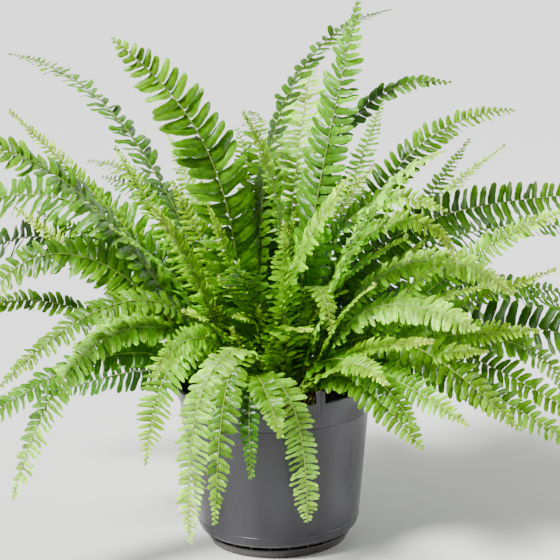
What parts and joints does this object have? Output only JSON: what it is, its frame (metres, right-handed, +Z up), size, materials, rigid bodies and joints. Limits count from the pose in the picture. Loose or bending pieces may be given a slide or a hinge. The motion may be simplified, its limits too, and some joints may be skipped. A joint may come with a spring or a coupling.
{
  "type": "potted boston fern",
  "caption": "Boston fern in a plain tapered nursery pot on its clip-on saucer, with upright, arching and hanging fronds of paired leaflets.",
  "frame": {"origin": "middle of the saucer's underside, on the pot's axis, on the surface that it stands on", "axes": "+Z up along the pot's axis; -Y is the front, the side that faces the viewer; +X to the viewer's right"},
  "size_m": [0.7029, 0.5083, 0.5309],
  "materials": {
    "pot": "satin",
    "saucer": "satin",
    "soil": "crumbly, matte",
    "leaf": "satin leaf"
  },
  "bodies": {
    "root": {"pot": "pot", "saucer": "saucer", "soil": "soil", "crown": "leaf", "frond_01": "leaf", "frond_02": "leaf", "frond_03": "leaf", "frond_04": "leaf", "frond_05": "leaf", "frond_06": "leaf", "frond_07": "leaf", "frond_08": "leaf", "frond_09": "leaf", "frond_10": "leaf", "frond_11": "leaf", "frond_12": "leaf", "frond_13": "leaf", "frond_14": "leaf", "frond_15": "leaf", "frond_16": "leaf", "frond_17": "leaf", "frond_18": "leaf", "frond_19": "leaf", "frond_20": "leaf", "frond_21": "leaf", "frond_22": "leaf", "frond_23": "leaf", "frond_24": "leaf", "frond_25": "leaf", "frond_26": "leaf", "frond_27": "leaf", "frond_28": "leaf", "frond_29": "leaf", "frond_30": "leaf", "frond_31": "leaf", "frond_32": "leaf", "frond_33": "leaf", "frond_34": "leaf", "frond_35": "leaf", "frond_36": "leaf", "frond_37": "leaf", "frond_38": "leaf", "frond_39": "leaf", "frond_40": "leaf", "frond_41": "leaf", "frond_42": "leaf", "frond_43": "leaf", "frond_44": "leaf", "frond_45": "leaf", "frond_46": "leaf", "frond_47": "leaf", "frond_48": "leaf", "frond_49": "leaf", "frond_50": "leaf", "frond_51": "leaf", "frond_52": "leaf", "frond_53": "leaf", "frond_54": "leaf", "frond_55": "leaf", "frond_56": "leaf"}
  },
  "joints": []
}
